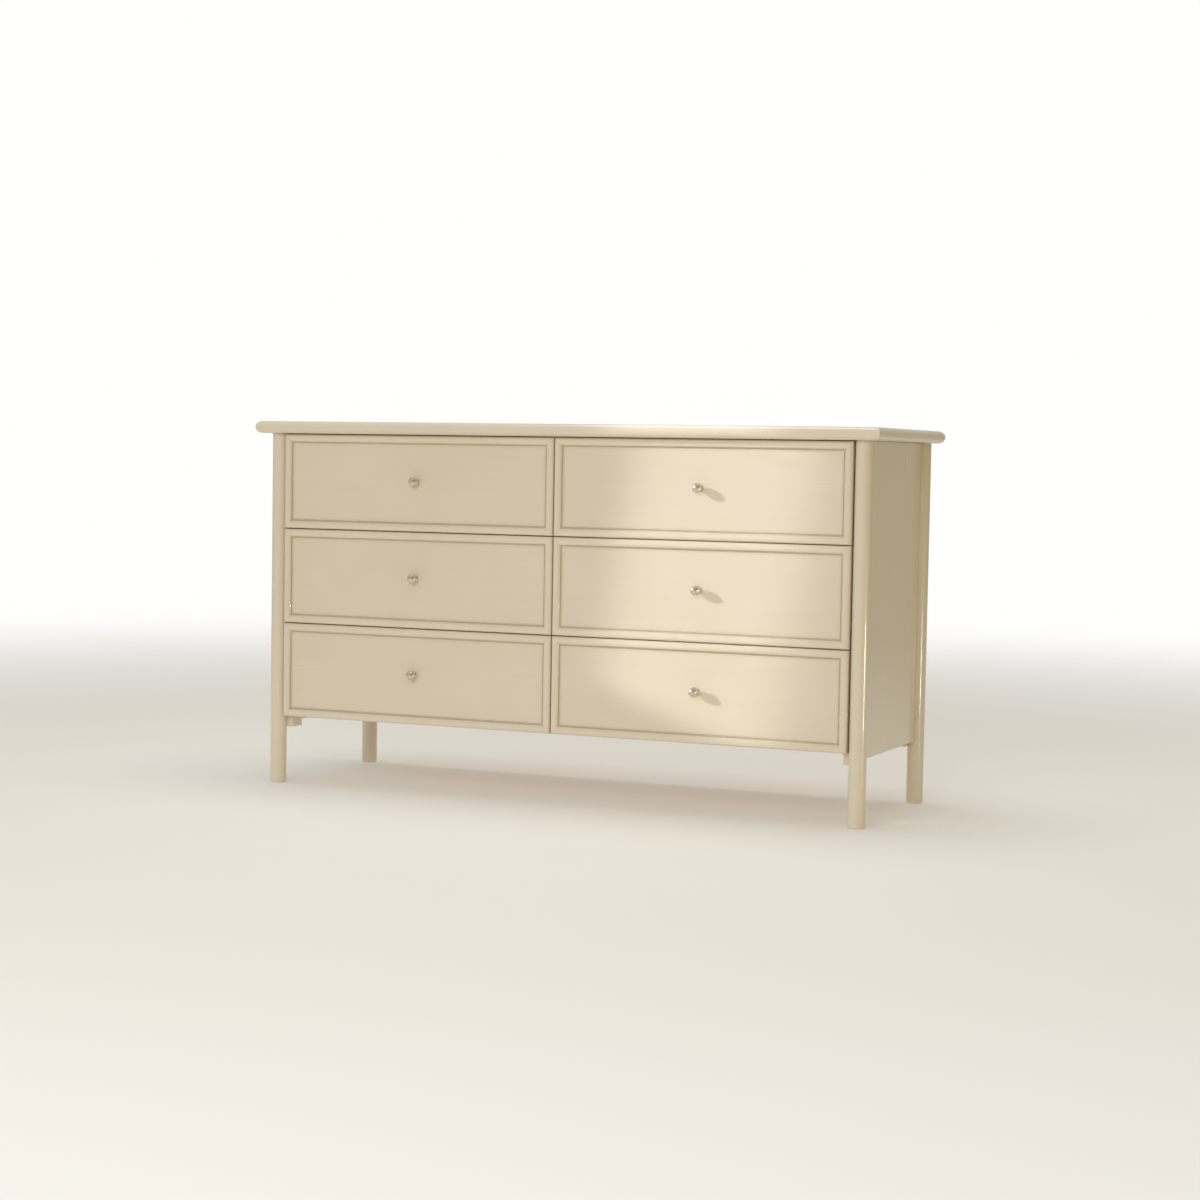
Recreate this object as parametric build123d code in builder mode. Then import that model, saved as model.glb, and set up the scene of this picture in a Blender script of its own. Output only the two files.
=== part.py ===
"""Low dresser: three rows of two drawers in a case carried by four round corner posts."""

from build123d import *
import os

os.makedirs("parts", exist_ok=True)

# Driving dimensions, millimetres. X runs along the front, the front faces -Y, Z is up.
overall_width = 1516.0
overall_depth = 504.0
overall_height = 850.0

top_thickness = 28.0
top_edge_radius = 13.9  # close to half the thickness, so the edge reads as a half round
top_side_overhang = 26.0
top_front_overhang = 23.0
top_back_overhang = 5.0

post_diameter = 38.0
post_foot_round = 5.0

panel_thickness = 16.0
panel_setback = 17.0  # side panel's outer face, in from the posts' outer line
side_panel_bottom = 143.0
back_panel_setback = 11.0  # back panel's outer face, in from the back posts' outer line
back_panel_thickness = 6.0
bottom_panel_thickness = 6.0
divider_thickness = 18.0

rail_depth = 60.0
top_rail_height = 12.0
bottom_rail_height = 16.0
blade_height = 28.0  # rail between two rows of drawers
back_rail_depth = 40.0

row_count = 3
front_height = 219.5
front_gap = 1.5  # between two rows
top_gap = 1.3  # between the top row and the top panel
post_gap = 1.5  # between a drawer front and the post beside it
centre_gap = 2.0  # between the two columns

front_thickness = 18.0
bead_width = 18.0
bead_rise = 7.0
mitre_gap = 0.1
quirk_width = 2.5  # small groove along the bead's inner edge
quirk_depth = 1.5
front_rail_clearance = 2.0  # closed drawer front to the rails behind it

side_thickness = 14.0
box_height = 188.0
box_length = 415.0
box_play = 2.0  # drawer box to the divider or the guide strip
box_lift = 0.5  # drawer box above its runners
box_back_thickness = 12.0
box_bottom_thickness = 6.0
box_bottom_inset = 8.0
groove_depth = 6.0

runner_width = 39.0
runner_height = bottom_rail_height - bottom_panel_thickness
guide_height = 20.0
guide_lift = 0.5

stop_width = 40.0
stop_height = 25.0
stop_thickness = 12.0
stop_drop = 12.0  # how far a stop hangs below a drawer box's upper edge

block_width = 20.0
block_depth = 40.0
block_drop = 27.0

knob_rise = 4.0  # knob's axis above the middle of the front
knob_length = 27.0
knob_base_radius = 7.5
knob_neck_radius = 3.6
knob_ball_radius = 10.8
knob_flange = 1.8
screw_radius = 2.0
screw_clearance = 0.1
screw_depth = 12.0  # thread length inside the knob
bore_spare = 1.0  # depth of the knob's bore past the end of the screw
screw_head_radius = 4.2
screw_head_height = 2.4

# Derived places.
half_width = overall_width / 2
case_half_width = half_width - top_side_overhang
post_radius = post_diameter / 2
post_x = case_half_width - post_radius
front_plane = -overall_depth / 2 + top_front_overhang
back_plane = overall_depth / 2 - top_back_overhang
post_front_y = front_plane + post_radius
post_back_y = back_plane - post_radius
post_height = overall_height - top_thickness

panel_outer_x = case_half_width - panel_setback
panel_inner_x = panel_outer_x - panel_thickness
divider_x = divider_thickness / 2

front_face_y = front_plane + bead_rise
front_rear_y = front_face_y + front_thickness
rail_front_y = front_rear_y + front_rail_clearance
rail_back_y = rail_front_y + rail_depth
back_panel_y = back_plane - back_panel_setback - back_panel_thickness
back_rail_y = back_panel_y - back_rail_depth

front_outer_x = case_half_width - post_diameter - post_gap
front_inner_x = centre_gap / 2
front_width = front_outer_x - front_inner_x
front_mid_x = (front_outer_x + front_inner_x) / 2

row_pitch = front_height + front_gap
row_bottoms = [post_height - top_gap - front_height - row * row_pitch for row in range(row_count)]
case_bottom = row_bottoms[-1]
bottom_panel_top = case_bottom + bottom_panel_thickness
runner_tops = [bottom + bottom_rail_height for bottom in row_bottoms]

box_inner_x = divider_x + box_play
box_outer_x = 2 * front_mid_x - box_inner_x
box_width = box_outer_x - box_inner_x
box_base = bottom_rail_height + box_lift  # box underside above the front's lower edge
box_back_y = front_rear_y + box_length
guide_inner_x = box_outer_x + box_play
guide_width = panel_inner_x - guide_inner_x

columns = {"left": -1, "right": 1}
rows = ["top", "middle", "bottom"]
post_places = {
    "post_front_left": (-post_x, post_front_y),
    "post_front_right": (post_x, post_front_y),
    "post_back_left": (-post_x, post_back_y),
    "post_back_right": (post_x, post_back_y),
}


def block(x_range, y_range, z_range, mode=Mode.ADD):
    """A box in the current part, given by its two ends along each axis."""
    centre = [(low + high) / 2 for low, high in (x_range, y_range, z_range)]
    size = [high - low for low, high in (x_range, y_range, z_range)]
    with Locations(tuple(centre)):
        Box(*size, mode=mode)


def cope_to_posts():
    """Hollows the current part where it meets the round posts."""
    with Locations(*[(x, y, post_height / 2) for x, y in post_places.values()]):
        Cylinder(post_radius, post_height, mode=Mode.SUBTRACT)


def save(piece, name):
    """Labels a finished piece and writes it to its own file."""
    piece.label = name
    export_step(piece, f"parts/{name}.step")


def mirrored(x_range, side):
    """An X range for the left (-1) or right (1) half, low end first."""
    return tuple(sorted(side * x for x in x_range))


# Top panel: half-round on all four edges, square corners in plan.
with BuildPart() as top_panel:
    with BuildSketch(Plane.XY.offset(post_height)):
        Rectangle(overall_width, overall_depth)
    extrude(amount=top_thickness)
    flat_edges = top_panel.edges().filter_by(Axis.Z, reverse=True)
    fillet(flat_edges, radius=top_edge_radius)
save(top_panel.part, "top_panel")

# Posts: round from floor to top panel, with a softened foot.
for post_name, post_place in post_places.items():
    with BuildPart() as post:
        with BuildSketch(Plane.XY):
            with Locations(post_place):
                Circle(post_radius)
        extrude(amount=post_height)
        fillet(post.edges().group_by(Axis.Z)[0], radius=post_foot_round)
    save(post.part, post_name)

# Side panels: set in between a front and a back post.
for side_name, side in columns.items():
    with BuildPart() as side_panel:
        block(
            mirrored((panel_inner_x, panel_outer_x), side),
            (post_front_y, post_back_y),
            (side_panel_bottom, post_height),
        )
        cope_to_posts()
    save(side_panel.part, f"side_panel_{side_name}")

# Back panel: thin sheet between the back posts.
with BuildPart() as back_panel:
    block(
        (-panel_inner_x, panel_inner_x),
        (back_panel_y, back_panel_y + back_panel_thickness),
        (case_bottom, post_height),
    )
    cope_to_posts()
save(back_panel.part, "back_panel")

# Bottom panel: dust panel between the front and back bottom rails.
with BuildPart() as bottom_panel:
    block(
        (-panel_inner_x, panel_inner_x),
        (rail_back_y, back_rail_y),
        (case_bottom, bottom_panel_top),
    )
save(bottom_panel.part, "bottom_panel")

# Rails along the front and back of the case.
rail_ranges = {
    "front_rail_top": ((rail_front_y, rail_back_y), (post_height - top_rail_height, post_height)),
    "front_rail_bottom": ((rail_front_y, rail_back_y), (case_bottom, runner_tops[-1])),
    "back_rail_top": ((back_rail_y, back_panel_y), (post_height - top_rail_height, post_height)),
    "back_rail_bottom": ((back_rail_y, back_panel_y), (case_bottom, runner_tops[-1])),
}
for rail_name, (rail_y, rail_z) in rail_ranges.items():
    with BuildPart() as rail:
        block((-panel_inner_x, panel_inner_x), rail_y, rail_z)
        cope_to_posts()
    save(rail.part, rail_name)

# Centre divider: stands on the bottom panel, notched over the rails.
with BuildPart() as centre_divider:
    block((-divider_x, divider_x), (rail_front_y, back_panel_y), (bottom_panel_top, post_height))
    for rail_y, rail_z in rail_ranges.values():
        block((-divider_x, divider_x), rail_y, rail_z, mode=Mode.SUBTRACT)
save(centre_divider.part, "centre_divider")

# Blades: rails between the rows, one in each column.
with BuildPart() as drawer_blades:
    for side in columns.values():
        for runner_top in runner_tops[:-1]:
            block(
                mirrored((divider_x, panel_inner_x), side),
                (rail_front_y, rail_back_y),
                (runner_top - blade_height, runner_top),
            )
    cope_to_posts()
save(drawer_blades.part, "drawer_blades")

# Runners carry the drawer boxes; a guide strip beside each outer one keeps the box straight.
with BuildPart() as drawer_runners:
    for side in columns.values():
        for runner_top in runner_tops:
            for runner_x in (
                (divider_x, divider_x + runner_width),
                (panel_inner_x - runner_width, panel_inner_x),
            ):
                block(
                    mirrored(runner_x, side),
                    (rail_back_y, back_rail_y),
                    (runner_top - runner_height, runner_top),
                )
            block(
                mirrored((guide_inner_x, panel_inner_x), side),
                (rail_back_y, back_rail_y),
                (runner_top + guide_lift, runner_top + guide_lift + guide_height),
            )
save(drawer_runners.part, "drawer_runners")

# Stops: turn-buttons behind the rail above each drawer, which catch the drawer's back board.
with BuildPart() as drawer_stops:
    for side in columns.values():
        for row_bottom in row_bottoms:
            stop_low = row_bottom + box_base + box_height - stop_drop
            block(
                mirrored((front_mid_x - stop_width / 2, front_mid_x + stop_width / 2), side),
                (rail_back_y, rail_back_y + stop_thickness),
                (stop_low, stop_low + stop_height),
            )
save(drawer_stops.part, "drawer_stops")

# Corner blocks: under the bottom rails, against the side panels.
with BuildPart() as corner_blocks:
    for side in columns.values():
        for block_y in (rail_front_y, back_panel_y - block_depth):
            block(
                mirrored((panel_inner_x - block_width, panel_inner_x), side),
                (block_y, block_y + block_depth),
                (case_bottom - block_drop, case_bottom),
            )
    cope_to_posts()
save(corner_blocks.part, "corner_blocks")


def bead_strip(length):
    """One strip of the bead frame, flat side on Y = 0, outer edge on Z = 0, ends mitred."""
    with BuildPart() as strip:
        with BuildSketch(Plane.XZ):
            with BuildLine():
                Polyline(
                    (-length / 2 + mitre_gap, 0),
                    (length / 2 - mitre_gap, 0),
                    (length / 2 - mitre_gap - bead_width, bead_width),
                    (-length / 2 + mitre_gap + bead_width, bead_width),
                    close=True,
                )
            make_face()
        extrude(amount=bead_rise)
        with BuildSketch(Plane.YZ):
            with Locations((0, bead_width / 2)):
                Ellipse(bead_rise, bead_width / 2)
        extrude(amount=length / 2, both=True, mode=Mode.INTERSECT)
    return strip.part


def bead_frame_part(mid_x, low_z):
    """Four mitred strips round a drawer front."""
    mid_z = low_z + front_height / 2
    long_strip = bead_strip(front_width)
    short_strip = bead_strip(front_height)
    with BuildPart() as frame:
        for strip, turn, reach in (
            (long_strip, 0, front_height / 2),
            (short_strip, 90, front_width / 2),
            (long_strip, 180, front_height / 2),
            (short_strip, 270, front_width / 2),
        ):
            with Locations(Location((mid_x, front_face_y, mid_z), (0, turn, 0))):
                add(strip.moved(Location((0, 0, -reach))))
    return frame.part


def front_part(mid_x, low_z):
    """Drawer front: flat board, a quirk inside the bead, a slot for the bottom, a screw hole."""
    mid_z = low_z + front_height / 2
    quirk_outer = (front_width - 2 * bead_width, front_height - 2 * bead_width)
    bottom_z = low_z + box_base + box_bottom_inset
    with BuildPart() as front:
        block(
            (mid_x - front_width / 2, mid_x + front_width / 2),
            (front_face_y, front_rear_y),
            (low_z, low_z + front_height),
        )
        with BuildSketch(Plane(origin=(mid_x, front_face_y, mid_z), x_dir=(1, 0, 0), z_dir=(0, -1, 0))):
            Rectangle(*quirk_outer)
            Rectangle(*[size - 2 * quirk_width for size in quirk_outer], mode=Mode.SUBTRACT)
        extrude(amount=-quirk_depth, mode=Mode.SUBTRACT)
        slot_half = box_width / 2 - side_thickness + groove_depth
        block(
            (mid_x - slot_half, mid_x + slot_half),
            (front_rear_y - groove_depth, front_rear_y),
            (bottom_z, bottom_z + box_bottom_thickness),
            mode=Mode.SUBTRACT,
        )
        with Locations(Location((mid_x, front_face_y, mid_z + knob_rise), (90, 0, 0))):
            Hole(screw_radius + screw_clearance)
    return front.part


def box_side_part(x_range, groove_x, low_z):
    """One side of a drawer box, grooved for the bottom."""
    side_low = low_z + box_base
    bottom_z = side_low + box_bottom_inset
    with BuildPart() as box_side:
        block(x_range, (front_rear_y, box_back_y), (side_low, side_low + box_height))
        block(
            groove_x,
            (front_rear_y, box_back_y),
            (bottom_z, bottom_z + box_bottom_thickness),
            mode=Mode.SUBTRACT,
        )
    return box_side.part


def knob_part(mid_x, mid_z):
    """Ball knob on a flanged neck, with the screw that holds it from inside the drawer."""
    knob_plane = Plane(origin=(mid_x, front_face_y, mid_z), x_dir=(1, 0, 0), z_dir=(0, 0, 1))
    knob_axis = Axis((mid_x, front_face_y, mid_z), (0, 1, 0))
    ball_middle = knob_length - knob_ball_radius
    neck_at = ball_middle - (knob_ball_radius**2 - knob_neck_radius**2) ** 0.5
    neck_point = (knob_neck_radius, -neck_at)
    widest_point = (knob_ball_radius, -ball_middle)
    bore_radius = screw_radius + screw_clearance
    bore_end = screw_depth + bore_spare
    with BuildPart() as knob:
        with BuildSketch(knob_plane):
            with BuildLine():
                Line((bore_radius, 0), (knob_base_radius, 0))
                Line((knob_base_radius, 0), (knob_base_radius, -knob_flange))
                TangentArc(neck_point, (knob_base_radius, -knob_flange), tangent=(0, 1))
                TangentArc(widest_point, neck_point, tangent=(0, 1))
                TangentArc(widest_point, (0, -knob_length), tangent=(0, -1))
                Line((0, -knob_length), (0, -bore_end))
                Line((0, -bore_end), (bore_radius, -bore_end))
                Line((bore_radius, -bore_end), (bore_radius, 0))
            make_face()
        revolve(axis=knob_axis)
    with BuildPart() as screw:
        with BuildSketch(knob_plane):
            with BuildLine():
                Polyline(
                    (0, -screw_depth),
                    (screw_radius, -screw_depth),
                    (screw_radius, front_thickness),
                    (screw_head_radius, front_thickness),
                    (screw_head_radius, front_thickness + screw_head_height),
                    (0, front_thickness + screw_head_height),
                    close=True,
                )
            make_face()
        revolve(axis=knob_axis)
    return Compound(children=[knob.part, screw.part])


# Drawers: the same pieces in each column and row.
for column_name, side in columns.items():
    mid_x = side * front_mid_x
    left_x = mid_x - box_width / 2
    right_x = mid_x + box_width / 2
    for row_name, low_z in zip(rows, row_bottoms):
        drawer = f"drawer_{row_name}_{column_name}"
        bottom_z = low_z + box_base + box_bottom_inset
        save(front_part(mid_x, low_z), f"{drawer}_front")
        save(bead_frame_part(mid_x, low_z), f"{drawer}_bead_frame")
        save(
            box_side_part(
                (left_x, left_x + side_thickness),
                (left_x + side_thickness - groove_depth, left_x + side_thickness),
                low_z,
            ),
            f"{drawer}_side_left",
        )
        save(
            box_side_part(
                (right_x - side_thickness, right_x),
                (right_x - side_thickness, right_x - side_thickness + groove_depth),
                low_z,
            ),
            f"{drawer}_side_right",
        )
        with BuildPart() as box_back:
            block(
                (left_x + side_thickness, right_x - side_thickness),
                (box_back_y - box_back_thickness, box_back_y),
                (bottom_z + box_bottom_thickness, low_z + box_base + box_height),
            )
        save(box_back.part, f"{drawer}_back")
        bottom_reach = box_width / 2 - side_thickness + groove_depth
        with BuildPart() as box_bottom:
            block(
                (mid_x - bottom_reach, mid_x + bottom_reach),
                (front_rear_y - groove_depth, box_back_y),
                (bottom_z, bottom_z + box_bottom_thickness),
            )
        save(box_bottom.part, f"{drawer}_bottom")
        save(knob_part(mid_x, low_z + front_height / 2 + knob_rise), f"{drawer}_knob")
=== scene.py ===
import math

import bpy
import numpy as np
from mathutils import Matrix, Vector


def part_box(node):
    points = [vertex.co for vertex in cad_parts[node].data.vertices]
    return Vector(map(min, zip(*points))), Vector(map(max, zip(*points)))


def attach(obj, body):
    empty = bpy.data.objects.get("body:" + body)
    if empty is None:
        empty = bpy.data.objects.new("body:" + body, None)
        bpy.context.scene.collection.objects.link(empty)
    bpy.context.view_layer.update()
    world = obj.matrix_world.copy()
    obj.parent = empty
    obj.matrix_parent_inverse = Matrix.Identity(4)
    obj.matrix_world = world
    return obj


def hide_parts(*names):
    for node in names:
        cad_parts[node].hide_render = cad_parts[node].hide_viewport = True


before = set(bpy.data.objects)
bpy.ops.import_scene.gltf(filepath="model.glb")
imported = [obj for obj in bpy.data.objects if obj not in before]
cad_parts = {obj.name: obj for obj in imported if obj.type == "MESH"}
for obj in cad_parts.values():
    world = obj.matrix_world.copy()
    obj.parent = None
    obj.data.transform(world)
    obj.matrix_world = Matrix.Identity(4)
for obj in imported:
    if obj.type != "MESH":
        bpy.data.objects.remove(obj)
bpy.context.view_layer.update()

mm = 0.001
holdGap = 0.4 * mm  # from the end of a round to the edge loop that keeps the flat beside it flat
columns = {"left": -1, "right": 1}
rows = ["top", "middle", "bottom"]
case = "case"


def newMaterial(name):
    # a Principled material and its node tree
    material = bpy.data.materials.new(name)
    material.use_nodes = True
    tree = material.node_tree
    return material, tree, tree.nodes["Principled BSDF"]


def addNode(tree, kind, **values):
    # a node of that kind; keys that are sockets set the socket, the others set the node
    made = tree.nodes.new(kind)
    for key, value in values.items():
        socket = made.inputs.get(key.replace("_", " "))
        if socket is None:
            setattr(made, key, value)
        elif isinstance(value, bpy.types.NodeSocket):
            tree.links.new(value, socket)
        else:
            socket.default_value = value
    return made


def grainCoordinates(tree, grainAxis, stretch, offset=(0.0, 0.0, 0.0)):
    # object coordinates as they are, and the same turned so that the grain runs along X, then
    # squeezed along it: (x, y, z) -> (x / stretch, y, z)
    turns = {"x": (0, 0, 0), "y": (0, 0, math.radians(-90)), "z": (0, math.radians(90), 0)}
    place = addNode(tree, "ShaderNodeTexCoord")
    plain = place.outputs["Object"]
    turned = addNode(tree, "ShaderNodeMapping", Vector=plain, Rotation=turns[grainAxis],
                     Location=offset)
    squeezed = addNode(tree, "ShaderNodeMapping", Vector=turned.outputs["Vector"],
                       Scale=(1 / stretch, 1, 1))
    return plain, squeezed.outputs["Vector"]


def addNoise(tree, vector, size, detail, roughness=0.5):
    # the value of a noise of that many waves a metre
    made = addNode(tree, "ShaderNodeTexNoise", Vector=vector, Scale=size, Detail=detail,
                   Roughness=roughness)
    return made.outputs[0]


def spread(tree, value, low, high, fromLow=0.3, fromHigh=0.7):
    # a noise value carried to the range low..high
    made = addNode(tree, "ShaderNodeMapRange")
    tree.links.new(value, made.inputs[0])
    for index, number in enumerate((fromLow, fromHigh, low, high)):
        made.inputs[index + 1].default_value = number
    return made.outputs[0]


def blendColours(tree, factor, first, second):
    # first where the factor is 0, second where it is 1
    made = tree.nodes.new("ShaderNodeMix")
    made.data_type = "RGBA"
    for index, value in ((0, factor), (6, first), (7, second)):
        if isinstance(value, bpy.types.NodeSocket):
            tree.links.new(value, made.inputs[index])
        elif isinstance(value, tuple):
            made.inputs[index].default_value = (*value, 1.0)
        else:
            made.inputs[index].default_value = value
    return made.outputs[2]


def multiply(tree, first, second):
    # product of two values
    made = addNode(tree, "ShaderNodeMath", operation="MULTIPLY")
    for index, value in enumerate((first, second)):
        if isinstance(value, bpy.types.NodeSocket):
            tree.links.new(value, made.inputs[index])
        else:
            made.inputs[index].default_value = value
    return made.outputs[0]


lacquerLook = {
    "ivory": (0.802, 0.720, 0.582),
    "warmIvory": (0.770, 0.682, 0.538),
    "grainAndShadeTone": (0.560, 0.455, 0.290),  # colour of the open grain and pores, and painted shade beside a bead, in a quirk and under the top
    "rubbedTone": (0.860, 0.790, 0.640),  # thinner lacquer over an edge
    "grainStretch": 22.0,
    "cloudSize": 2.4,  # sizes are waves a metre, across the grain
    "brushSize": 55.0,
    "poreSize": 620.0,
    "speckleSize": 38.0,
    "peelSize": 520.0,
    "grainShow": 0.05,
    "poreShow": 0.03,
    "creaseShadeStrength": 0.62,
    "rubStrength": 0.30,
    "roughness": (0.27, 0.37),
    "ior": 1.47,
    "coat": 0.85,
    "coatRoughness": 0.07,
    "peelHeight": 0.016 * mm,
    "poreHeight": 0.020 * mm,
}


def makeLacquer(grainAxis):
    # brushed ivory lacquer: slow drift between two creams, open grain showing faintly through it,
    # painted shade in the creases, thinner colour on the edges, orange peel and grain as bump
    look = lacquerLook
    material, tree, shader = newMaterial("ivoryLacquer" + grainAxis.upper())
    plain, squeezed = grainCoordinates(tree, grainAxis, look["grainStretch"])
    cloud = addNoise(tree, plain, look["cloudSize"], 3.0, 0.55)
    brush = addNoise(tree, squeezed, look["brushSize"], 5.0, 0.6)
    pores = addNoise(tree, squeezed, look["poreSize"], 2.0, 0.5)
    peel = addNoise(tree, plain, look["peelSize"], 1.5, 0.4)
    speckle = addNoise(tree, plain, look["speckleSize"], 4.0, 0.65)
    creaseShade = addNode(tree, "ShaderNodeAttribute", attribute_name="creaseShade")
    rub = addNode(tree, "ShaderNodeAttribute", attribute_name="rub")

    body = blendColours(tree, spread(tree, cloud, 0.0, 1.0), look["ivory"], look["warmIvory"])
    grain = spread(tree, brush, 0.0, look["grainShow"])
    body = blendColours(tree, grain, body, look["grainAndShadeTone"])
    openPores = spread(tree, pores, 0.0, look["poreShow"], 0.50, 0.72)
    body = blendColours(tree, openPores, body, look["grainAndShadeTone"])
    # painted shade: the crease mark darkens the lacquer towards the shade tone, flecked a little
    full = look["creaseShadeStrength"]
    paintedCreaseShade = multiply(tree, creaseShade.outputs["Fac"], spread(tree, speckle, 0.72 * full, full))
    body = blendColours(tree, paintedCreaseShade, body, look["grainAndShadeTone"])
    rubbed = multiply(tree, rub.outputs["Fac"], spread(tree, speckle, 0.0, look["rubStrength"]))
    body = blendColours(tree, rubbed, body, look["rubbedTone"])
    tree.links.new(body, shader.inputs["Base Color"])

    tree.links.new(spread(tree, brush, *look["roughness"]), shader.inputs["Roughness"])
    shader.inputs["IOR"].default_value = look["ior"]
    shader.inputs["Coat Weight"].default_value = look["coat"]
    shader.inputs["Coat Roughness"].default_value = look["coatRoughness"]

    grainBump = addNode(tree, "ShaderNodeBump", Height=pores, Distance=look["poreHeight"])
    peelBump = addNode(tree, "ShaderNodeBump", Height=peel, Distance=look["peelHeight"],
                       Normal=grainBump.outputs["Normal"])
    tree.links.new(peelBump.outputs["Normal"], shader.inputs["Normal"])
    return material


woodLook = {
    "early": (0.670, 0.495, 0.300),
    "late": (0.500, 0.330, 0.175),
    "pale": (0.740, 0.580, 0.390),
    "poreTone": (0.300, 0.185, 0.095),
    "grainStretch": 14.0,
    "heart": (0.3, 0.17, -0.21),  # how far the middle of the growth rings is moved off the boards
    "ringSize": 30.0,
    "driftSize": 9.0,
    "fibreSize": 420.0,
    "poreSize": 1100.0,
    "roughness": (0.46, 0.62),
    "ior": 1.45,
    "grainHeight": 0.06 * mm,
    "sheetLighten": 0.35,  # how much paler the thin sheets of the bottoms and the back are
}


def makeWood(grainAxis, name="naturalWood", lighten=0.0):
    # bare drawer wood: growth rings round the grain axis bent by noise, short dark pores, drift
    look = woodLook
    material, tree, shader = newMaterial(name + grainAxis.upper())
    _, squeezed = grainCoordinates(tree, grainAxis, look["grainStretch"], look["heart"])
    rings = addNode(tree, "ShaderNodeTexWave", Vector=squeezed, Scale=look["ringSize"],
                    Distortion=5.5, Detail=3.0, wave_type="RINGS", rings_direction="X",
                    wave_profile="SAW")
    rings.inputs["Detail Scale"].default_value = 1.6
    drift = addNoise(tree, squeezed, look["driftSize"], 4.0, 0.6)
    fibre = addNoise(tree, squeezed, look["fibreSize"], 3.0, 0.6)
    pores = addNoise(tree, squeezed, look["poreSize"], 1.0, 0.4)

    growth = spread(tree, rings.outputs["Fac"], 0.0, 0.55, 0.0, 1.0)
    body = blendColours(tree, growth, look["early"], look["late"])
    body = blendColours(tree, spread(tree, drift, lighten, 0.6 + lighten), body, look["pale"])
    body = blendColours(tree, spread(tree, fibre, 0.0, 0.28), body, look["late"])
    openPores = spread(tree, pores, 0.0, 0.5, 0.60, 0.74)
    body = blendColours(tree, openPores, body, look["poreTone"])
    tree.links.new(body, shader.inputs["Base Color"])
    tree.links.new(spread(tree, fibre, *look["roughness"]), shader.inputs["Roughness"])
    shader.inputs["IOR"].default_value = look["ior"]
    fibreBump = addNode(tree, "ShaderNodeBump", Height=fibre, Distance=look["grainHeight"])
    tree.links.new(fibreBump.outputs["Normal"], shader.inputs["Normal"])
    return material


nickelLook = {
    "bright": (0.780, 0.735, 0.655),
    "dull": (0.660, 0.612, 0.530),
    "hazeSize": 120.0,
    "scratchSize": 700.0,
    "scratchStretch": 14.0,
    "roughness": (0.24, 0.38),
    "scratchHeight": 0.006 * mm,
}


def makeNickel():
    # buffed nickel: hazy patches, and hair-fine scratches left by the buffing wheel
    look = nickelLook
    material, tree, shader = newMaterial("polishedNickel")
    place = addNode(tree, "ShaderNodeTexCoord")
    haze = addNoise(tree, place.outputs["Object"], look["hazeSize"], 4.0, 0.6)
    fine = addNode(tree, "ShaderNodeMapping", Vector=place.outputs["Object"],
                   Scale=(1.0, look["scratchStretch"], 1.0))
    scratch = addNoise(tree, fine.outputs["Vector"], look["scratchSize"], 3.0, 0.7)
    body = blendColours(tree, spread(tree, haze, 0.0, 1.0), look["bright"], look["dull"])
    tree.links.new(body, shader.inputs["Base Color"])
    shader.inputs["Metallic"].default_value = 1.0
    tree.links.new(spread(tree, scratch, *look["roughness"]), shader.inputs["Roughness"])
    scratchBump = addNode(tree, "ShaderNodeBump", Height=scratch, Distance=look["scratchHeight"])
    tree.links.new(scratchBump.outputs["Normal"], shader.inputs["Normal"])
    return material


lacquer = {axis: makeLacquer(axis) for axis in "xyz"}
wood = {axis: makeWood(axis) for axis in "xyz"}
sheetWood = makeWood("x", "sheetWood", woodLook["sheetLighten"])
nickel = makeNickel()
print("finishes made")


def arc(centre, radius, startDegrees, endDegrees, steps):
    # points centre + radius * (cos a, sin a) for a from start to end
    angle = np.radians(np.linspace(startDegrees, endDegrees, steps + 1))
    return np.array(centre) + radius * np.stack([np.cos(angle), np.sin(angle)], axis=1)


def roundedLoops(halfWidth, halfHeight, radius, cornerSteps=3):
    # for every ring i, a rectangle of half sizes (halfWidth_i, halfHeight_i) whose corners are
    # quarter circles of radius_i, a holding point just past each end; points run anticlockwise
    angle = np.linspace(0, math.pi / 2, cornerSteps + 1)
    across = np.concatenate([[1.0], np.cos(angle), [0.0]])
    upward = np.concatenate([[0.0], np.sin(angle), [1.0]])
    backAcross = np.concatenate([[0.0], np.zeros(cornerSteps + 1), [-holdGap]])
    backUp = np.concatenate([[-holdGap], np.zeros(cornerSteps + 1), [0.0]])
    radius = radius[:, None]
    cornerU = halfWidth[:, None] - radius + radius * across + backAcross
    cornerV = halfHeight[:, None] - radius + radius * upward + backUp
    u = np.concatenate([cornerU, -cornerU[:, ::-1], -cornerU, cornerU[:, ::-1]], axis=1)
    v = np.concatenate([cornerV, cornerV[:, ::-1], -cornerV, -cornerV[:, ::-1]], axis=1)
    return u, v


def joinRings(rings):
    # one quad joins ring i, point j to its neighbours; the first and last ring are closed flat
    ringCount, pointCount = rings.shape[:2]
    index = np.arange(ringCount * pointCount).reshape(ringCount, pointCount)
    after = np.roll(index, -1, axis=1)
    quads = np.stack([index[:-1], after[:-1], after[1:], index[1:]], axis=-1).reshape(-1, 4)
    return rings.reshape(-1, 3), quads, [index[0][::-1], index[-1]]


def facingOut(points, quads, caps):
    # the signed volume, a sixth of the sum of a . (b x c) over the triangles, is made positive
    fans = [np.stack([np.full(len(cap) - 2, cap[0]), cap[1:-1], cap[2:]], axis=1) for cap in caps]
    triangles = np.concatenate([quads[:, [0, 1, 2]], quads[:, [0, 2, 3]], *fans])
    a, b, c = (points[triangles[:, k]] for k in range(3))
    if np.einsum("ij,ij->i", a, np.cross(b, c)).sum() < 0:
        return points, quads[:, ::-1], [cap[::-1] for cap in caps]
    return points, quads, caps


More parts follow.
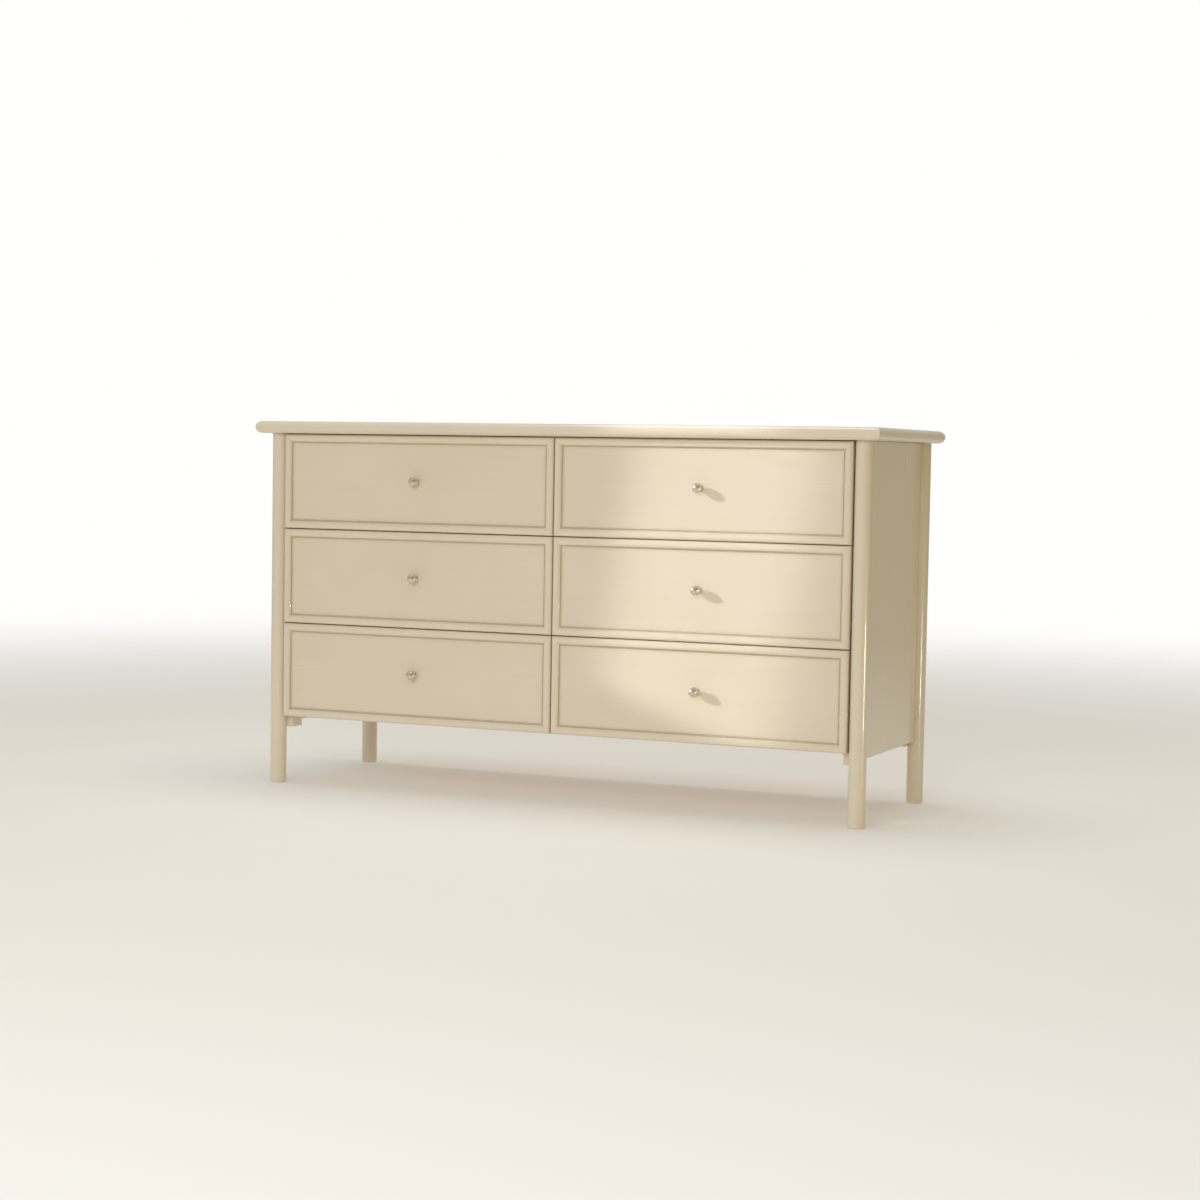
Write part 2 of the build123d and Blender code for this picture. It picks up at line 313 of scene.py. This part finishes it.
def makePiece(name, shells, material, body, nodes=(), marks=None, sharpDegrees=32.0):
    # closed shells of rings become one mesh that rides on a body and stands for its CAD nodes
    points, faces, start = [], [], 0
    for rings in shells:
        shellPoints, quads, caps = facingOut(*joinRings(rings))
        points.append(shellPoints)
        faces += (quads + start).tolist() + [(cap + start).tolist() for cap in caps]
        start += len(shellPoints)
    mesh = bpy.data.meshes.new(name)
    mesh.from_pydata(np.concatenate(points).tolist(), [], faces)
    for mark, values in (marks or {}).items():
        layer = mesh.attributes.new(mark, "FLOAT", "POINT")
        flat = np.concatenate([np.ravel(value) for value in values]).astype(np.float32)
        layer.data.foreach_set("value", flat)
    mesh.shade_smooth()
    mesh.set_sharp_from_angle(angle=math.radians(sharpDegrees))
    mesh.materials.append(material)
    piece = bpy.data.objects.new(name, mesh)
    bpy.context.scene.collection.objects.link(piece)
    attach(piece, body)
    if nodes:
        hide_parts(*nodes)


def boxOf(node):
    # centre and half size of a CAD node's box
    low, high = (np.array(corner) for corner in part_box(node))
    return (low + high) / 2, (high - low) / 2


def slabRings(centre, half, along, insets, places, cornerRadius):
    # a profile of (inset, place along the axis) carried round a rectangle: ring i is the rectangle
    # drawn in by inset_i at place_i, its corner radius shrinking with the inset
    acrossAxis, upAxis = [axis for axis in range(3) if axis != along]
    radius = np.maximum(cornerRadius - insets, 0.05 * mm)
    u, v = roundedLoops(half[acrossAxis] - insets, half[upAxis] - insets, radius)
    rings = np.empty(u.shape + (3,))
    rings[..., acrossAxis] = centre[acrossAxis] + u
    rings[..., upAxis] = centre[upAxis] + v
    rings[..., along] = places[:, None]
    return rings


def easedProfile(low, high, ease, steps=4):
    # from the low face to the high face: flat, quarter circle, side, quarter circle, flat
    lowArc = arc((ease, low + ease), ease, 270, 180, steps)
    highArc = arc((ease, high - ease), ease, 180, 90, steps)
    return np.concatenate([
        [(ease + holdGap, low)], lowArc, [(0, low + ease + holdGap)],
        [(0, high - ease - holdGap)], highArc, [(ease + holdGap, high)],
    ])


def rubMarks(profile, pointCount, ease):
    # half worn on an edge's round, falling to 0 on the flats beside it
    rub = 0.5 * np.clip(1 - np.abs(profile[:, 0] - 0.3 * ease) / (0.9 * ease), 0, 1)
    return np.repeat(rub[:, None], pointCount, axis=1)


def easedBoard(name, node, along, material, body, ease):
    # a board as its CAD box, with every edge rounded over
    centre, half = boxOf(node)
    profile = easedProfile(centre[along] - half[along], centre[along] + half[along], ease)
    rings = slabRings(centre, half, along, profile[:, 0], profile[:, 1], ease)
    marks = {"rub": [rubMarks(profile, rings.shape[1], ease)]}
    makePiece(name, [rings], material, body, [node], marks)


def turnedRings(profile, centre, along, segments):
    # a profile of (radius, place along the axis) turned about that axis:
    # (u, v) = centre + radius * (cos a, sin a)
    acrossAxis, upAxis = [axis for axis in range(3) if axis != along]
    angle = np.linspace(0, 2 * math.pi, segments, endpoint=False)
    rings = np.empty((len(profile), segments, 3))
    rings[..., acrossAxis] = centre[acrossAxis] + profile[:, :1] * np.cos(angle)
    rings[..., upAxis] = centre[upAxis] + profile[:, :1] * np.sin(angle)
    rings[..., along] = profile[:, 1:]
    return rings


topSettings = {"edgeSteps": 22, "cornerRadius": 0.8 * mm, "flatLoop": 60 * mm, "rub": 0.5}


def makeTop():
    # slab whose edge is a half round: inset = r - r cos a, z = middle + r sin a, a from -90 to 90
    settings = topSettings
    centre, half = boxOf("top_panel")
    edge = arc((half[2], centre[2]), half[2] - 0.05 * mm, 270, 90, settings["edgeSteps"])
    profile = np.concatenate([
        [(edge[0, 0] + settings["flatLoop"], edge[0, 1]), (edge[0, 0] + 0.5 * mm, edge[0, 1])],
        edge,
        [(edge[-1, 0] + 0.5 * mm, edge[-1, 1])],
    ])
    profile[:, 0] -= edge[:, 0].min()
    rings = slabRings(centre, half, 2, profile[:, 0], profile[:, 1], settings["cornerRadius"])
    rub = np.zeros(len(profile))
    rub[2:-1] = settings["rub"] * np.sin(np.linspace(0, math.pi, len(profile) - 3))
    marks = {"rub": [np.repeat(rub[:, None], rings.shape[1], axis=1)]}
    makePiece("topSlab", [rings], lacquer["x"], case, ["top_panel"], marks)


postSettings = {
    "segments": 128,
    "footRound": 5 * mm,
    "footSteps": 8,
    "soleLoop": 4 * mm,
    "creaseShadeHeight": 7 * mm,
    "creaseShade": 0.8,
    "rub": 0.8,
}


def makePosts():
    # round post: radius = r all the way up, but for the foot, a quarter circle; painted shade under
    # the top
    settings = postSettings
    foot, reach = settings["footRound"], settings["creaseShadeHeight"]
    for row in ("front", "back"):
        for column in columns:
            centre, half = boxOf(f"post_{row}_{column}")
            height = 2 * half[2]
            footArc = arc((half[0] - foot, foot), foot, 270, 360, settings["footSteps"])
            shadedShare = reach / height
            shaft = np.array([0.02, 0.1, 0.3, 0.5, 0.7, 0.9, 1 - shadedShare, 1 - 0.4 * shadedShare, 1])
            profile = np.concatenate([
                [(half[0] - foot - settings["soleLoop"], 0), (half[0] - foot - holdGap, 0)],
                footArc,
                np.stack([np.full(len(shaft), half[0]), shaft * height], axis=1),
                [(half[0] - 0.5 * mm, height)],
            ])
            rings = turnedRings(profile, centre, 2, settings["segments"])
            towardsTop = np.clip((profile[:, 1] - height + reach) / reach, 0, 1)
            # painted shade on the post just under the top slab, deepening towards the top
            creaseShade = settings["creaseShade"] * towardsTop ** 2
            rub = np.exp(-profile[:, 1] / (0.6 * foot)) * settings["rub"]
            marks = {key: [np.repeat(values[:, None], rings.shape[1], axis=1)]
                     for key, values in (("creaseShade", creaseShade), ("rub", rub))}
            makePiece(f"post_{row}_{column}_turned", [rings], lacquer["z"], case,
                      [f"post_{row}_{column}"], marks)


sidePanelSettings = {
    "copeSteps": 10,
    "ease": 1.2 * mm,
    "touch": 0.05 * mm,
    "creaseShadeReach": 9 * mm,
    "creaseShade": 0.75,
    "fadedCreaseShade": 0.35,
}


def makeSidePanels():
    # board between two posts, its ends hollowed to them: y = post y +- sqrt(r^2 - (x - post x)^2)
    settings = sidePanelSettings
    for column, side in columns.items():
        centre, half = boxOf(f"side_panel_{column}")
        postFront, postHalf = boxOf(f"post_front_{column}")
        postBack, _ = boxOf(f"post_back_{column}")
        inner, outer = centre[0] - side * half[0], centre[0] + side * half[0]
        lowZ, highZ = centre[2] - half[2], centre[2] + half[2]
        copeRadius = postHalf[0] + settings["touch"]
        x = np.linspace(outer, inner, settings["copeSteps"] + 1)
        bow = np.sqrt(copeRadius ** 2 - (x - postFront[0]) ** 2)
        frontEnd, backEnd = postFront[1] + bow, postBack[1] - bow
        reach = np.array([0.35, 1.0]) * settings["creaseShadeReach"]
        outerY = np.concatenate([frontEnd[0] + reach, backEnd[0] - reach[::-1]])
        innerY = np.concatenate([backEnd[-1] - reach, frontEnd[-1] + reach[::-1]])
        loopX = np.concatenate([x[::-1], np.full(4, outer), x, np.full(4, inner)])
        loopY = np.concatenate([frontEnd[::-1], outerY, backEnd, innerY])
        faded = settings["fadedCreaseShade"]
        endCreaseShade = np.tile(np.concatenate([np.ones(len(x)), [faded, 0, 0, faded]]), 2)
        profile = easedProfile(lowZ, highZ, settings["ease"])
        rise = np.array([0.3, 0.9, 0.99])  # rings up the board, which hold the painted shade under the top
        extra = np.stack([0 * rise, lowZ + rise * (highZ - lowZ)], axis=1)
        profile = np.insert(profile, len(profile) // 2, extra, axis=0)
        squeeze = 1 - profile[:, :1] / half[0]
        rings = np.empty((len(profile), len(loopX), 3))
        rings[..., 0] = centre[0] + (loopX - centre[0]) * squeeze
        rings[..., 1] = loopY
        rings[..., 2] = profile[:, 1:]
        # painted shade where the board meets the posts and under the top
        topCreaseShade = np.clip((profile[:, 1] - highZ) / settings["creaseShadeReach"] + 1, 0, 1) ** 2
        creaseShade = settings["creaseShade"] * np.maximum(endCreaseShade[None, :], topCreaseShade[:, None])
        makePiece(f"sideBoard_{column}", [rings], lacquer["z"], case,
                  [f"side_panel_{column}"], {"creaseShade": [creaseShade]})


screwLook = {
    "rings": 14,
    "segments": 40,
    "innerRing": 0.03,
    "domeDrop": 0.92,
    "armWidth": 0.16,  # widths and lengths are shares of the head's radius
    "armReach": 0.62,
    "armSlope": 1.6,
    "endSlope": 5.0,
    "depth": 1.1 * mm,
}


def screwHeadRings(centre, radius, height, along, direction):
    # pan head with a cross recess: height = h * (1 - drop * rho^4) ^ 0.5, less a cross whose arms
    # lie where rho * min(|sin a|, |cos a|) is under armWidth, and end at armReach
    look = screwLook
    rho = np.linspace(look["innerRing"], 1.0, look["rings"])[:, None]
    angle = np.linspace(0, 2 * math.pi, look["segments"], endpoint=False)[None, :]
    dome = height * np.sqrt(np.clip(1 - look["domeDrop"] * rho ** 4, 0, 1))
    offArm = rho * np.minimum(np.abs(np.sin(angle)), np.abs(np.cos(angle)))
    arm = np.clip(look["armSlope"] * (1 - offArm / look["armWidth"]), 0, 1)
    arm = arm * np.clip(look["endSlope"] * (look["armReach"] - rho), 0, 1)
    rise = dome - look["depth"] * arm
    acrossAxis, upAxis = [axis for axis in range(3) if axis != along]
    head = np.empty((look["rings"] + 1, look["segments"], 3))
    head[:-1, :, acrossAxis] = centre[acrossAxis] + radius * rho * np.cos(angle)
    head[:-1, :, upAxis] = centre[upAxis] + radius * rho * np.sin(angle)
    head[:-1, :, along] = centre[along] + direction * rise
    head[-1] = head[-2]
    head[-1, :, along] = centre[along]
    return head


def finishNodes():
    # the frame inside the case keeps its CAD shape; each board gets its own grain direction
    grains = {
        "front_rail_top": wood["x"], "front_rail_bottom": lacquer["x"], "back_rail_top": wood["x"],
        "back_rail_bottom": wood["x"], "drawer_blades": wood["x"], "drawer_runners": wood["y"],
        "drawer_stops": wood["x"], "centre_divider": wood["y"], "bottom_panel": sheetWood,
        "corner_blocks": lacquer["y"],
    }
    for node, material in grains.items():
        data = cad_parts[node].data
        data.materials.clear()
        data.materials.append(material)


backSettings = {
    "screwInset": 9 * mm,
    "screwEndInset": 60 * mm,
    "screwRadius": 3.6 * mm,
    "screwHeight": 1.6 * mm,
    "ease": 0.6 * mm,
    "across": 6,
    "up": 3,
}


def makeBack():
    # thin back sheet, held by pan-head screws along its two long edges and up its middle
    settings = backSettings
    easedBoard("backSheet", "back_panel", 1, sheetWood, case, settings["ease"])
    centre, half = boxOf("back_panel")
    faceY = centre[1] + half[1]
    edgeZ = half[2] - settings["screwInset"]
    x = np.linspace(-1, 1, settings["across"]) * (half[0] - settings["screwEndInset"])
    z = centre[2] + np.linspace(-1, 1, settings["up"] + 2)[1:-1] * edgeZ
    places = [(place, centre[2] + end * edgeZ) for place in x for end in (-1, 1)]
    places += [(0.0, place) for place in z]
    radius, height = settings["screwRadius"], settings["screwHeight"]
    shells = [screwHeadRings((placeX, faceY, placeZ), radius, height, 1, 1)
              for placeX, placeZ in places]
    makePiece("backScrews", shells, nickel, case, sharpDegrees=50.0)


makeTop()
makePosts()
makeSidePanels()
finishNodes()
makeBack()
print("case made")


frontSettings = {
    "edgeEase": 0.4 * mm,
    "cornerRadius": 0.6 * mm,
    "beadWidth": 18 * mm,
    "quirkWidth": 2.5 * mm,
    "quirkDepth": 1.5 * mm,
    "quirkEase": 0.5 * mm,
    "quirkHollow": 0.8 * mm,
    "creaseShadeReach": 9 * mm,
}


def makeFront(name, node, body):
    # flat board; round its face, just inside the bead, runs a quirk: down its wall, a hollow floor,
    # up the other wall and over an eased lip on to the field
    settings = frontSettings
    centre, half = boxOf(node)
    back, face = centre[1] + half[1], centre[1] - half[1]
    ease, lip = settings["edgeEase"], settings["quirkEase"]
    start, width, depth = settings["beadWidth"], settings["quirkWidth"], settings["quirkDepth"]
    outer = easedProfile(0, back - face, ease)
    hollow = settings["quirkHollow"]
    floorStart = arc((start + hollow, depth - hollow), hollow, 180, 90, 4)
    floorEnd = arc((start + width - hollow, depth - hollow), hollow, 90, 0, 4)
    lipArc = arc((start + width + lip, lip), lip, 180, 270, 4)
    reach = settings["creaseShadeReach"]
    field = start + width + lip + np.array([0.05, 0.2, 0.5, 1.0]) * reach
    facePath = np.concatenate([
        [(start - 0.6 * mm, 0), (start, 0)], floorStart, floorEnd, lipArc,
        np.stack([field, 0 * field], axis=1),
    ])
    profile = np.concatenate([
        np.stack([outer[:, 0], back - outer[:, 1]], axis=1),
        np.stack([facePath[:, 0], face + facePath[:, 1]], axis=1),
    ])
    rings = slabRings(centre, half, 1, profile[:, 0], profile[:, 1], settings["cornerRadius"])
    quirkEnd = start + width
    # painted shade in the quirk, fading out across the field beside it
    creaseShade = np.where(profile[:, 0] < start - 1 * mm, 0,
                      np.clip(1 - (profile[:, 0] - quirkEnd) / reach, 0, 1) ** 3)
    marks = {"creaseShade": [np.repeat(creaseShade[:, None], rings.shape[1], axis=1)]}
    makePiece(name, [rings], lacquer["x"], body, [node], marks)


beadSettings = {"width": 18 * mm, "steps": 28, "stations": 6, "mitreGap": 0.1 * mm, "rub": 0.45}


def makeBeadFrame(name, node, body):
    # four mitred strips, half an ellipse in section: inset = w/2 (1 - cos t), rise = h sin t, and
    # the strip runs to half its length less the inset at each end
    settings = beadSettings
    centre, half = boxOf(node)
    base = centre[1] + half[1]
    rise = 2 * half[1]
    t = np.linspace(0, math.pi, settings["steps"] + 1)
    inset = settings["width"] / 2 * (1 - np.cos(t))
    proud = rise * np.sin(t)
    share = np.linspace(-1, 1, settings["stations"])[:, None]
    # painted shade along the foot of the bead, where it meets the front
    creaseShade = np.clip(1 - np.sin(t) * 1.6, 0, 1) ** 1.5
    shells, marks = [], []
    for runAxis, edgeAxis in ((0, 2), (2, 0)):
        run = half[runAxis] - settings["mitreGap"] - inset
        for end in (-1, 1):
            rings = np.empty((settings["stations"], len(t), 3))
            rings[..., runAxis] = centre[runAxis] + share * run
            rings[..., edgeAxis] = centre[edgeAxis] + end * (half[edgeAxis] - inset)
            rings[..., 1] = base - proud
            shells.append(rings)
            marks.append(np.repeat(creaseShade[None, :], settings["stations"], axis=0))
    rub = [settings["rub"] * (1 - np.clip(2.5 * values, 0, 1)) for values in marks]
    makePiece(name, shells, lacquer["x"], body, [node], {"creaseShade": marks, "rub": rub},
              sharpDegrees=28.0)


knobSettings = {
    "segments": 112,
    "baseRadius": 7.5 * mm,
    "flange": 1.8 * mm,
    "flangeEase": 0.5 * mm,
    "neckRadius": 3.6 * mm,
    "neckSteps": 16,
    "ballRadius": 10.8 * mm,
    "ballSteps": 43,
    "poleGap": 0.02,  # radians
    "length": 27 * mm,
    "screwRadius": 4.2 * mm,
    "screwHeight": 2.4 * mm,
}


def flare(startRadius, startAt, endRadius, endAt, steps):
    # arc that leaves the neck parallel to the axis and swings out to the end point: its radius R
    # satisfies (endRadius - startRadius - R)^2 + (endAt - startAt)^2 = R^2
    out, run = endRadius - startRadius, endAt - startAt
    bend = (out ** 2 + run ** 2) / (2 * out)
    sweep = np.linspace(0, math.asin(min(abs(run) / bend, 1)), steps + 1)
    return np.stack([startRadius + bend * (1 - np.cos(sweep)),
                     startAt + math.copysign(1, run) * bend * np.sin(sweep)], axis=1)


def makeKnob(name, node, frontNode, body):
    # turned knob: an eased flange, a flare in to the neck, then a ball, r = R sin a at
    # middle - R cos a, from where it meets the neck to its pole
    settings = knobSettings
    centre, _ = boxOf(node)
    frontCentre, frontHalf = boxOf(frontNode)
    face = frontCentre[1] - frontHalf[1]
    base, soft = settings["baseRadius"], settings["flangeEase"]
    neck, ball = settings["neckRadius"], settings["ballRadius"]
    middle = settings["length"] - ball
    neckAt = middle - math.sqrt(ball ** 2 - neck ** 2)
    flangeTop = settings["flange"]
    neckFlare = flare(neck, neckAt, base - soft, flangeTop, settings["neckSteps"])[::-1]
    sweep = np.linspace(math.asin(neck / ball), math.pi - settings["poleGap"],
                        settings["ballSteps"] + 1)
    profile = np.concatenate([
        [(base - 2 * mm, 0), (base - 0.2 * mm, 0), (base, 0.2 * mm)],
        arc((base - soft, flangeTop - soft), soft, 0, 80, 5),
        neckFlare,
        np.stack([ball * np.sin(sweep), middle - ball * np.cos(sweep)], axis=1)[1:],
    ])
    profile[:, 1] = face - profile[:, 1]
    knobRings = turnedRings(profile, centre, 1, settings["segments"])
    inside = frontCentre[1] + frontHalf[1]
    screwRings = screwHeadRings((centre[0], inside, centre[2]), settings["screwRadius"],
                                settings["screwHeight"], 1, 1)
    makePiece(name, [knobRings, screwRings], nickel, body, [node], sharpDegrees=50.0)


boxSettings = {
    "upperEase": 2.5 * mm,
    "lowerEase": 1.0 * mm,
    "backEase": 1.2 * mm,
    "bottomEase": 0.4 * mm,
    "grooveDepth": 6 * mm,
}


def makeBoxSide(name, node, bottomNode, inward, body):
    # section carried from the front to the back of the drawer: a board with eased upper edges and,
    # on its inner face, a groove as high as the drawer bottom is thick
    settings = boxSettings
    centre, half = boxOf(node)
    bottomCentre, bottomHalf = boxOf(bottomNode)
    w, h = half[0], half[2]
    up, low = settings["upperEase"], settings["lowerEase"]
    upHold, lowHold, hollow = up + holdGap, low + holdGap, w - settings["grooveDepth"]
    grooveLow = bottomCentre[2] - bottomHalf[2] - centre[2]
    grooveHigh = bottomCentre[2] + bottomHalf[2] - centre[2]
    section = np.concatenate([
        [(w - lowHold, -h)], arc((w - low, -h + low), low, 270, 360, 3), [(w, -h + lowHold)],
        [(w, grooveLow), (hollow, grooveLow), (hollow, grooveHigh), (w, grooveHigh)],
        [(w, h - upHold)], arc((w - up, h - up), up, 0, 90, 5), [(w - upHold, h)],
        [(-w + upHold, h)], arc((-w + up, h - up), up, 90, 180, 5), [(-w, h - upHold)],
        [(-w, -h + lowHold)], arc((-w + low, -h + low), low, 180, 270, 3), [(-w + lowHold, -h)],
    ])
    y = np.array([centre[1] - half[1], centre[1], centre[1] + half[1]])
    rings = np.empty((len(y), len(section), 3))
    rings[..., 0] = centre[0] + inward * section[:, 0]
    rings[..., 1] = y[:, None]
    rings[..., 2] = centre[2] + section[:, 1]
    makePiece(name, [rings], wood["y"], body, [node])


for row in rows:
    for column in columns:
        body = f"drawer_{row}_{column}"
        tag = f"{row}_{column}"
        makeFront(f"front_{tag}", f"{body}_front", body)
        makeBeadFrame(f"bead_{tag}", f"{body}_bead_frame", body)
        makeKnob(f"knob_{tag}", f"{body}_knob", f"{body}_front", body)
        makeBoxSide(f"boxLeft_{tag}", f"{body}_side_left", f"{body}_bottom", 1, body)
        makeBoxSide(f"boxRight_{tag}", f"{body}_side_right", f"{body}_bottom", -1, body)
        easedBoard(f"boxBack_{tag}", f"{body}_back", 0, wood["x"], body,
                   boxSettings["backEase"])
        easedBoard(f"boxBottom_{tag}", f"{body}_bottom", 2, sheetWood, body,
                   boxSettings["bottomEase"])
print("drawers made")


floorSettings = {
    "radius": 14.0,
    "segments": 96,
    "rings": (0.0005, 0.1, 0.4, 1.0),  # shares of the radius
    "fadeStart": 1.4,
    "fadeEnd": 6.5,
    "tone": (0.77, 0.757, 0.73),
    "cloudTone": (0.748, 0.735, 0.708),
    "cloudSize": 0.8,
    "roughness": (0.7, 0.8),
    "glow": 0.19,
    "glowTone": (1.0, 0.99, 0.97),
}


def makeFloor():
    # flat disc: (r cos a, r sin a, 0), r growing outwards; it fades into the backdrop at its rim
    settings = floorSettings
    angle = np.linspace(0, 2 * math.pi, settings["segments"], endpoint=False)
    radius = settings["radius"] * np.array(settings["rings"])[:, None]
    rings = np.stack([radius * np.cos(angle), radius * np.sin(angle), 0 * radius * angle], axis=-1)
    points, quads, caps = joinRings(rings)
    mesh = bpy.data.meshes.new("floor")
    mesh.from_pydata(points.tolist(), [], quads.tolist() + [caps[0][::-1].tolist()])
    mesh.flip_normals()
    material, tree, shader = newMaterial("paleFloor")
    place = addNode(tree, "ShaderNodeTexCoord")
    cloud = addNoise(tree, place.outputs["Object"], settings["cloudSize"], 5.0)
    tone = blendColours(tree, cloud, settings["tone"], settings["cloudTone"])
    tree.links.new(tone, shader.inputs["Base Color"])
    tree.links.new(spread(tree, cloud, *settings["roughness"]), shader.inputs["Roughness"])
    distance = addNode(tree, "ShaderNodeVectorMath", operation="LENGTH")
    tree.links.new(place.outputs["Object"], distance.inputs[0])
    fade = addNode(tree, "ShaderNodeMapRange", interpolation_type="SMOOTHSTEP")
    tree.links.new(distance.outputs["Value"], fade.inputs[0])
    for index, value in enumerate((settings["fadeStart"], settings["fadeEnd"], 1.0, 0.0)):
        fade.inputs[index + 1].default_value = value
    tree.links.new(fade.outputs[0], shader.inputs["Alpha"])
    shader.inputs["Specular IOR Level"].default_value = 0.0
    shader.inputs["Emission Color"].default_value = (*settings["glowTone"], 1.0)
    shader.inputs["Emission Strength"].default_value = settings["glow"]
    mesh.materials.append(material)
    floor = bpy.data.objects.new("floor", mesh)
    bpy.context.scene.collection.objects.link(floor)


roomSettings = {
    "light": 0.50,
    "backdrop": 1.0,
    "backdropTone": (1.0, 0.995, 0.985),
    "fairSide": (1.0, 0.985, 0.955),
    "dimSide": (0.73, 0.56, 0.19),
    "dimFrom": -0.2,  # how far towards +X the room begins to dim
    "dimTo": 0.9,
}

# keyGloss is the key lamp's highlight, gentler than its light; stripLight only shows in gloss
lampSettings = {
    "keyLight": {
        "place": (0.5, -5.0, 2.3), "aim": (0.1, 0.0, 0.4), "size": (2.6, 2.0),
        "power": 68.0, "colour": (1.0, 0.985, 0.96), "gloss": False,
    },
    "keyGloss": {
        "place": (0.5, -5.0, 2.3), "aim": (0.1, 0.0, 0.4), "size": (2.6, 2.0),
        "power": 18.0, "colour": (1.0, 0.985, 0.96), "matt": False,
    },
    "overheadLight": {
        "place": (0.0, 0.2, 3.6), "aim": (0.0, 0.1, 0.85), "size": (2.4, 1.6),
        "power": 34.0, "colour": (1.0, 0.99, 0.97),
    },
    "stripLight": {
        "place": (1.95, -0.36, 0.21), "aim": (0.71, -0.2, 0.21), "size": (0.06, 0.28),
        "power": 4.0, "colour": (1.0, 0.95, 0.82), "matt": False,
    },
}

# the narrow shaft of daylight across the right column
shaftSettings = {
    "aim": (0.375, -0.222, 0.54),
    "travel": (59.0, 28.0, -25.0),
    "distance": 1.5,
    "size": (0.175, 0.67),
    "power": 0.28,
    "colour": (0.93, 0.98, 1.0),
    "spreadDegrees": 3.6,
    "lean": -3.5,
}


def aimedAt(place, aim, lean):
    # a frame at place whose -Z axis looks at aim, turned about that look by lean degrees
    look = (Vector(aim) - Vector(place)).normalized()
    facing = look.to_track_quat("-Z", "Y").to_matrix().to_4x4()
    turn = facing @ Matrix.Rotation(math.radians(lean), 4, "Z")
    return Matrix.Translation(Vector(place)) @ turn


def addAreaLight(name, place, aim, size, power, colour, spreadDegrees=180.0, lean=0.0,
                 matt=True, gloss=True):
    # a rectangular soft light; without matt it adds highlights only, without gloss it adds none
    data = bpy.data.lights.new(name, "AREA")
    data.shape = "RECTANGLE"
    data.size, data.size_y = size
    data.energy = power
    data.color = colour
    data.spread = math.radians(spreadDegrees)
    lamp = bpy.data.objects.new(name, data)
    lamp.matrix_world = aimedAt(place, aim, lean)
    lamp.visible_camera = False
    lamp.visible_diffuse = matt
    lamp.visible_glossy = gloss
    bpy.context.scene.collection.objects.link(lamp)


def makeRoom():
    # the room is pale all round, dimmer and warmer towards +X; its backdrop shows plain
    settings = roomSettings
    world = bpy.data.worlds.new("studio")
    bpy.context.scene.world = world
    world.use_nodes = True
    tree = world.node_tree
    background = tree.nodes["Background"]
    path = addNode(tree, "ShaderNodeLightPath")
    seenByCamera = path.outputs["Is Camera Ray"]
    strength = spread(tree, seenByCamera, settings["light"], settings["backdrop"], 0, 1)
    tree.links.new(strength, background.inputs["Strength"])
    place = addNode(tree, "ShaderNodeTexCoord")
    split = addNode(tree, "ShaderNodeSeparateXYZ", Vector=place.outputs["Generated"])
    towards = addNode(tree, "ShaderNodeMapRange", interpolation_type="SMOOTHSTEP")
    tree.links.new(split.outputs["X"], towards.inputs[0])
    towards.inputs[1].default_value = settings["dimFrom"]
    towards.inputs[2].default_value = settings["dimTo"]
    room = blendColours(tree, towards.outputs[0], settings["fairSide"], settings["dimSide"])
    colour = blendColours(tree, seenByCamera, room, settings["backdropTone"])
    tree.links.new(colour, background.inputs["Color"])


def makeLights():
    # the shaft's lamp stands its distance back from the aim, against the way the light travels
    for name, lamp in lampSettings.items():
        addAreaLight(name, **lamp)
    shaft = dict(shaftSettings)
    back = Vector(shaft.pop("travel")).normalized() * shaft.pop("distance")
    addAreaLight("windowShaft", Vector(shaft["aim"]) - back, **shaft)


cameraSettings = {
    "place": (2.219, -5.002, 0.769),
    "yaw": 23.75,
    "pitch": -3.35,
    "roll": 0.965,
    "lens": 71.07,
    "sensor": 36.0,
}


def makeCamera():
    # yaw turns the view left of +Y, a negative pitch tips it down, roll turns it about its look
    settings = cameraSettings
    yaw, pitch, roll = (math.radians(settings[name]) for name in ("yaw", "pitch", "roll"))
    level = math.cos(pitch)
    forward = Vector((-math.sin(yaw) * level, math.cos(yaw) * level, math.sin(pitch)))
    right = Vector((math.cos(yaw), math.sin(yaw), 0))
    up = right.cross(forward)
    turnedRight = right * math.cos(roll) + up * math.sin(roll)
    turnedUp = up * math.cos(roll) - right * math.sin(roll)
    data = bpy.data.cameras.new("camera")
    data.lens = settings["lens"]
    data.sensor_width = settings["sensor"]
    camera = bpy.data.objects.new("camera", data)
    turn = Matrix((turnedRight, turnedUp, -forward)).transposed().to_4x4()
    camera.matrix_world = Matrix.Translation(Vector(settings["place"])) @ turn
    bpy.context.scene.collection.objects.link(camera)
    bpy.context.scene.camera = camera
    bpy.context.scene.view_settings.view_transform = "Standard"


makeFloor()
makeRoom()
makeLights()
makeCamera()
print("floor, light and camera made")
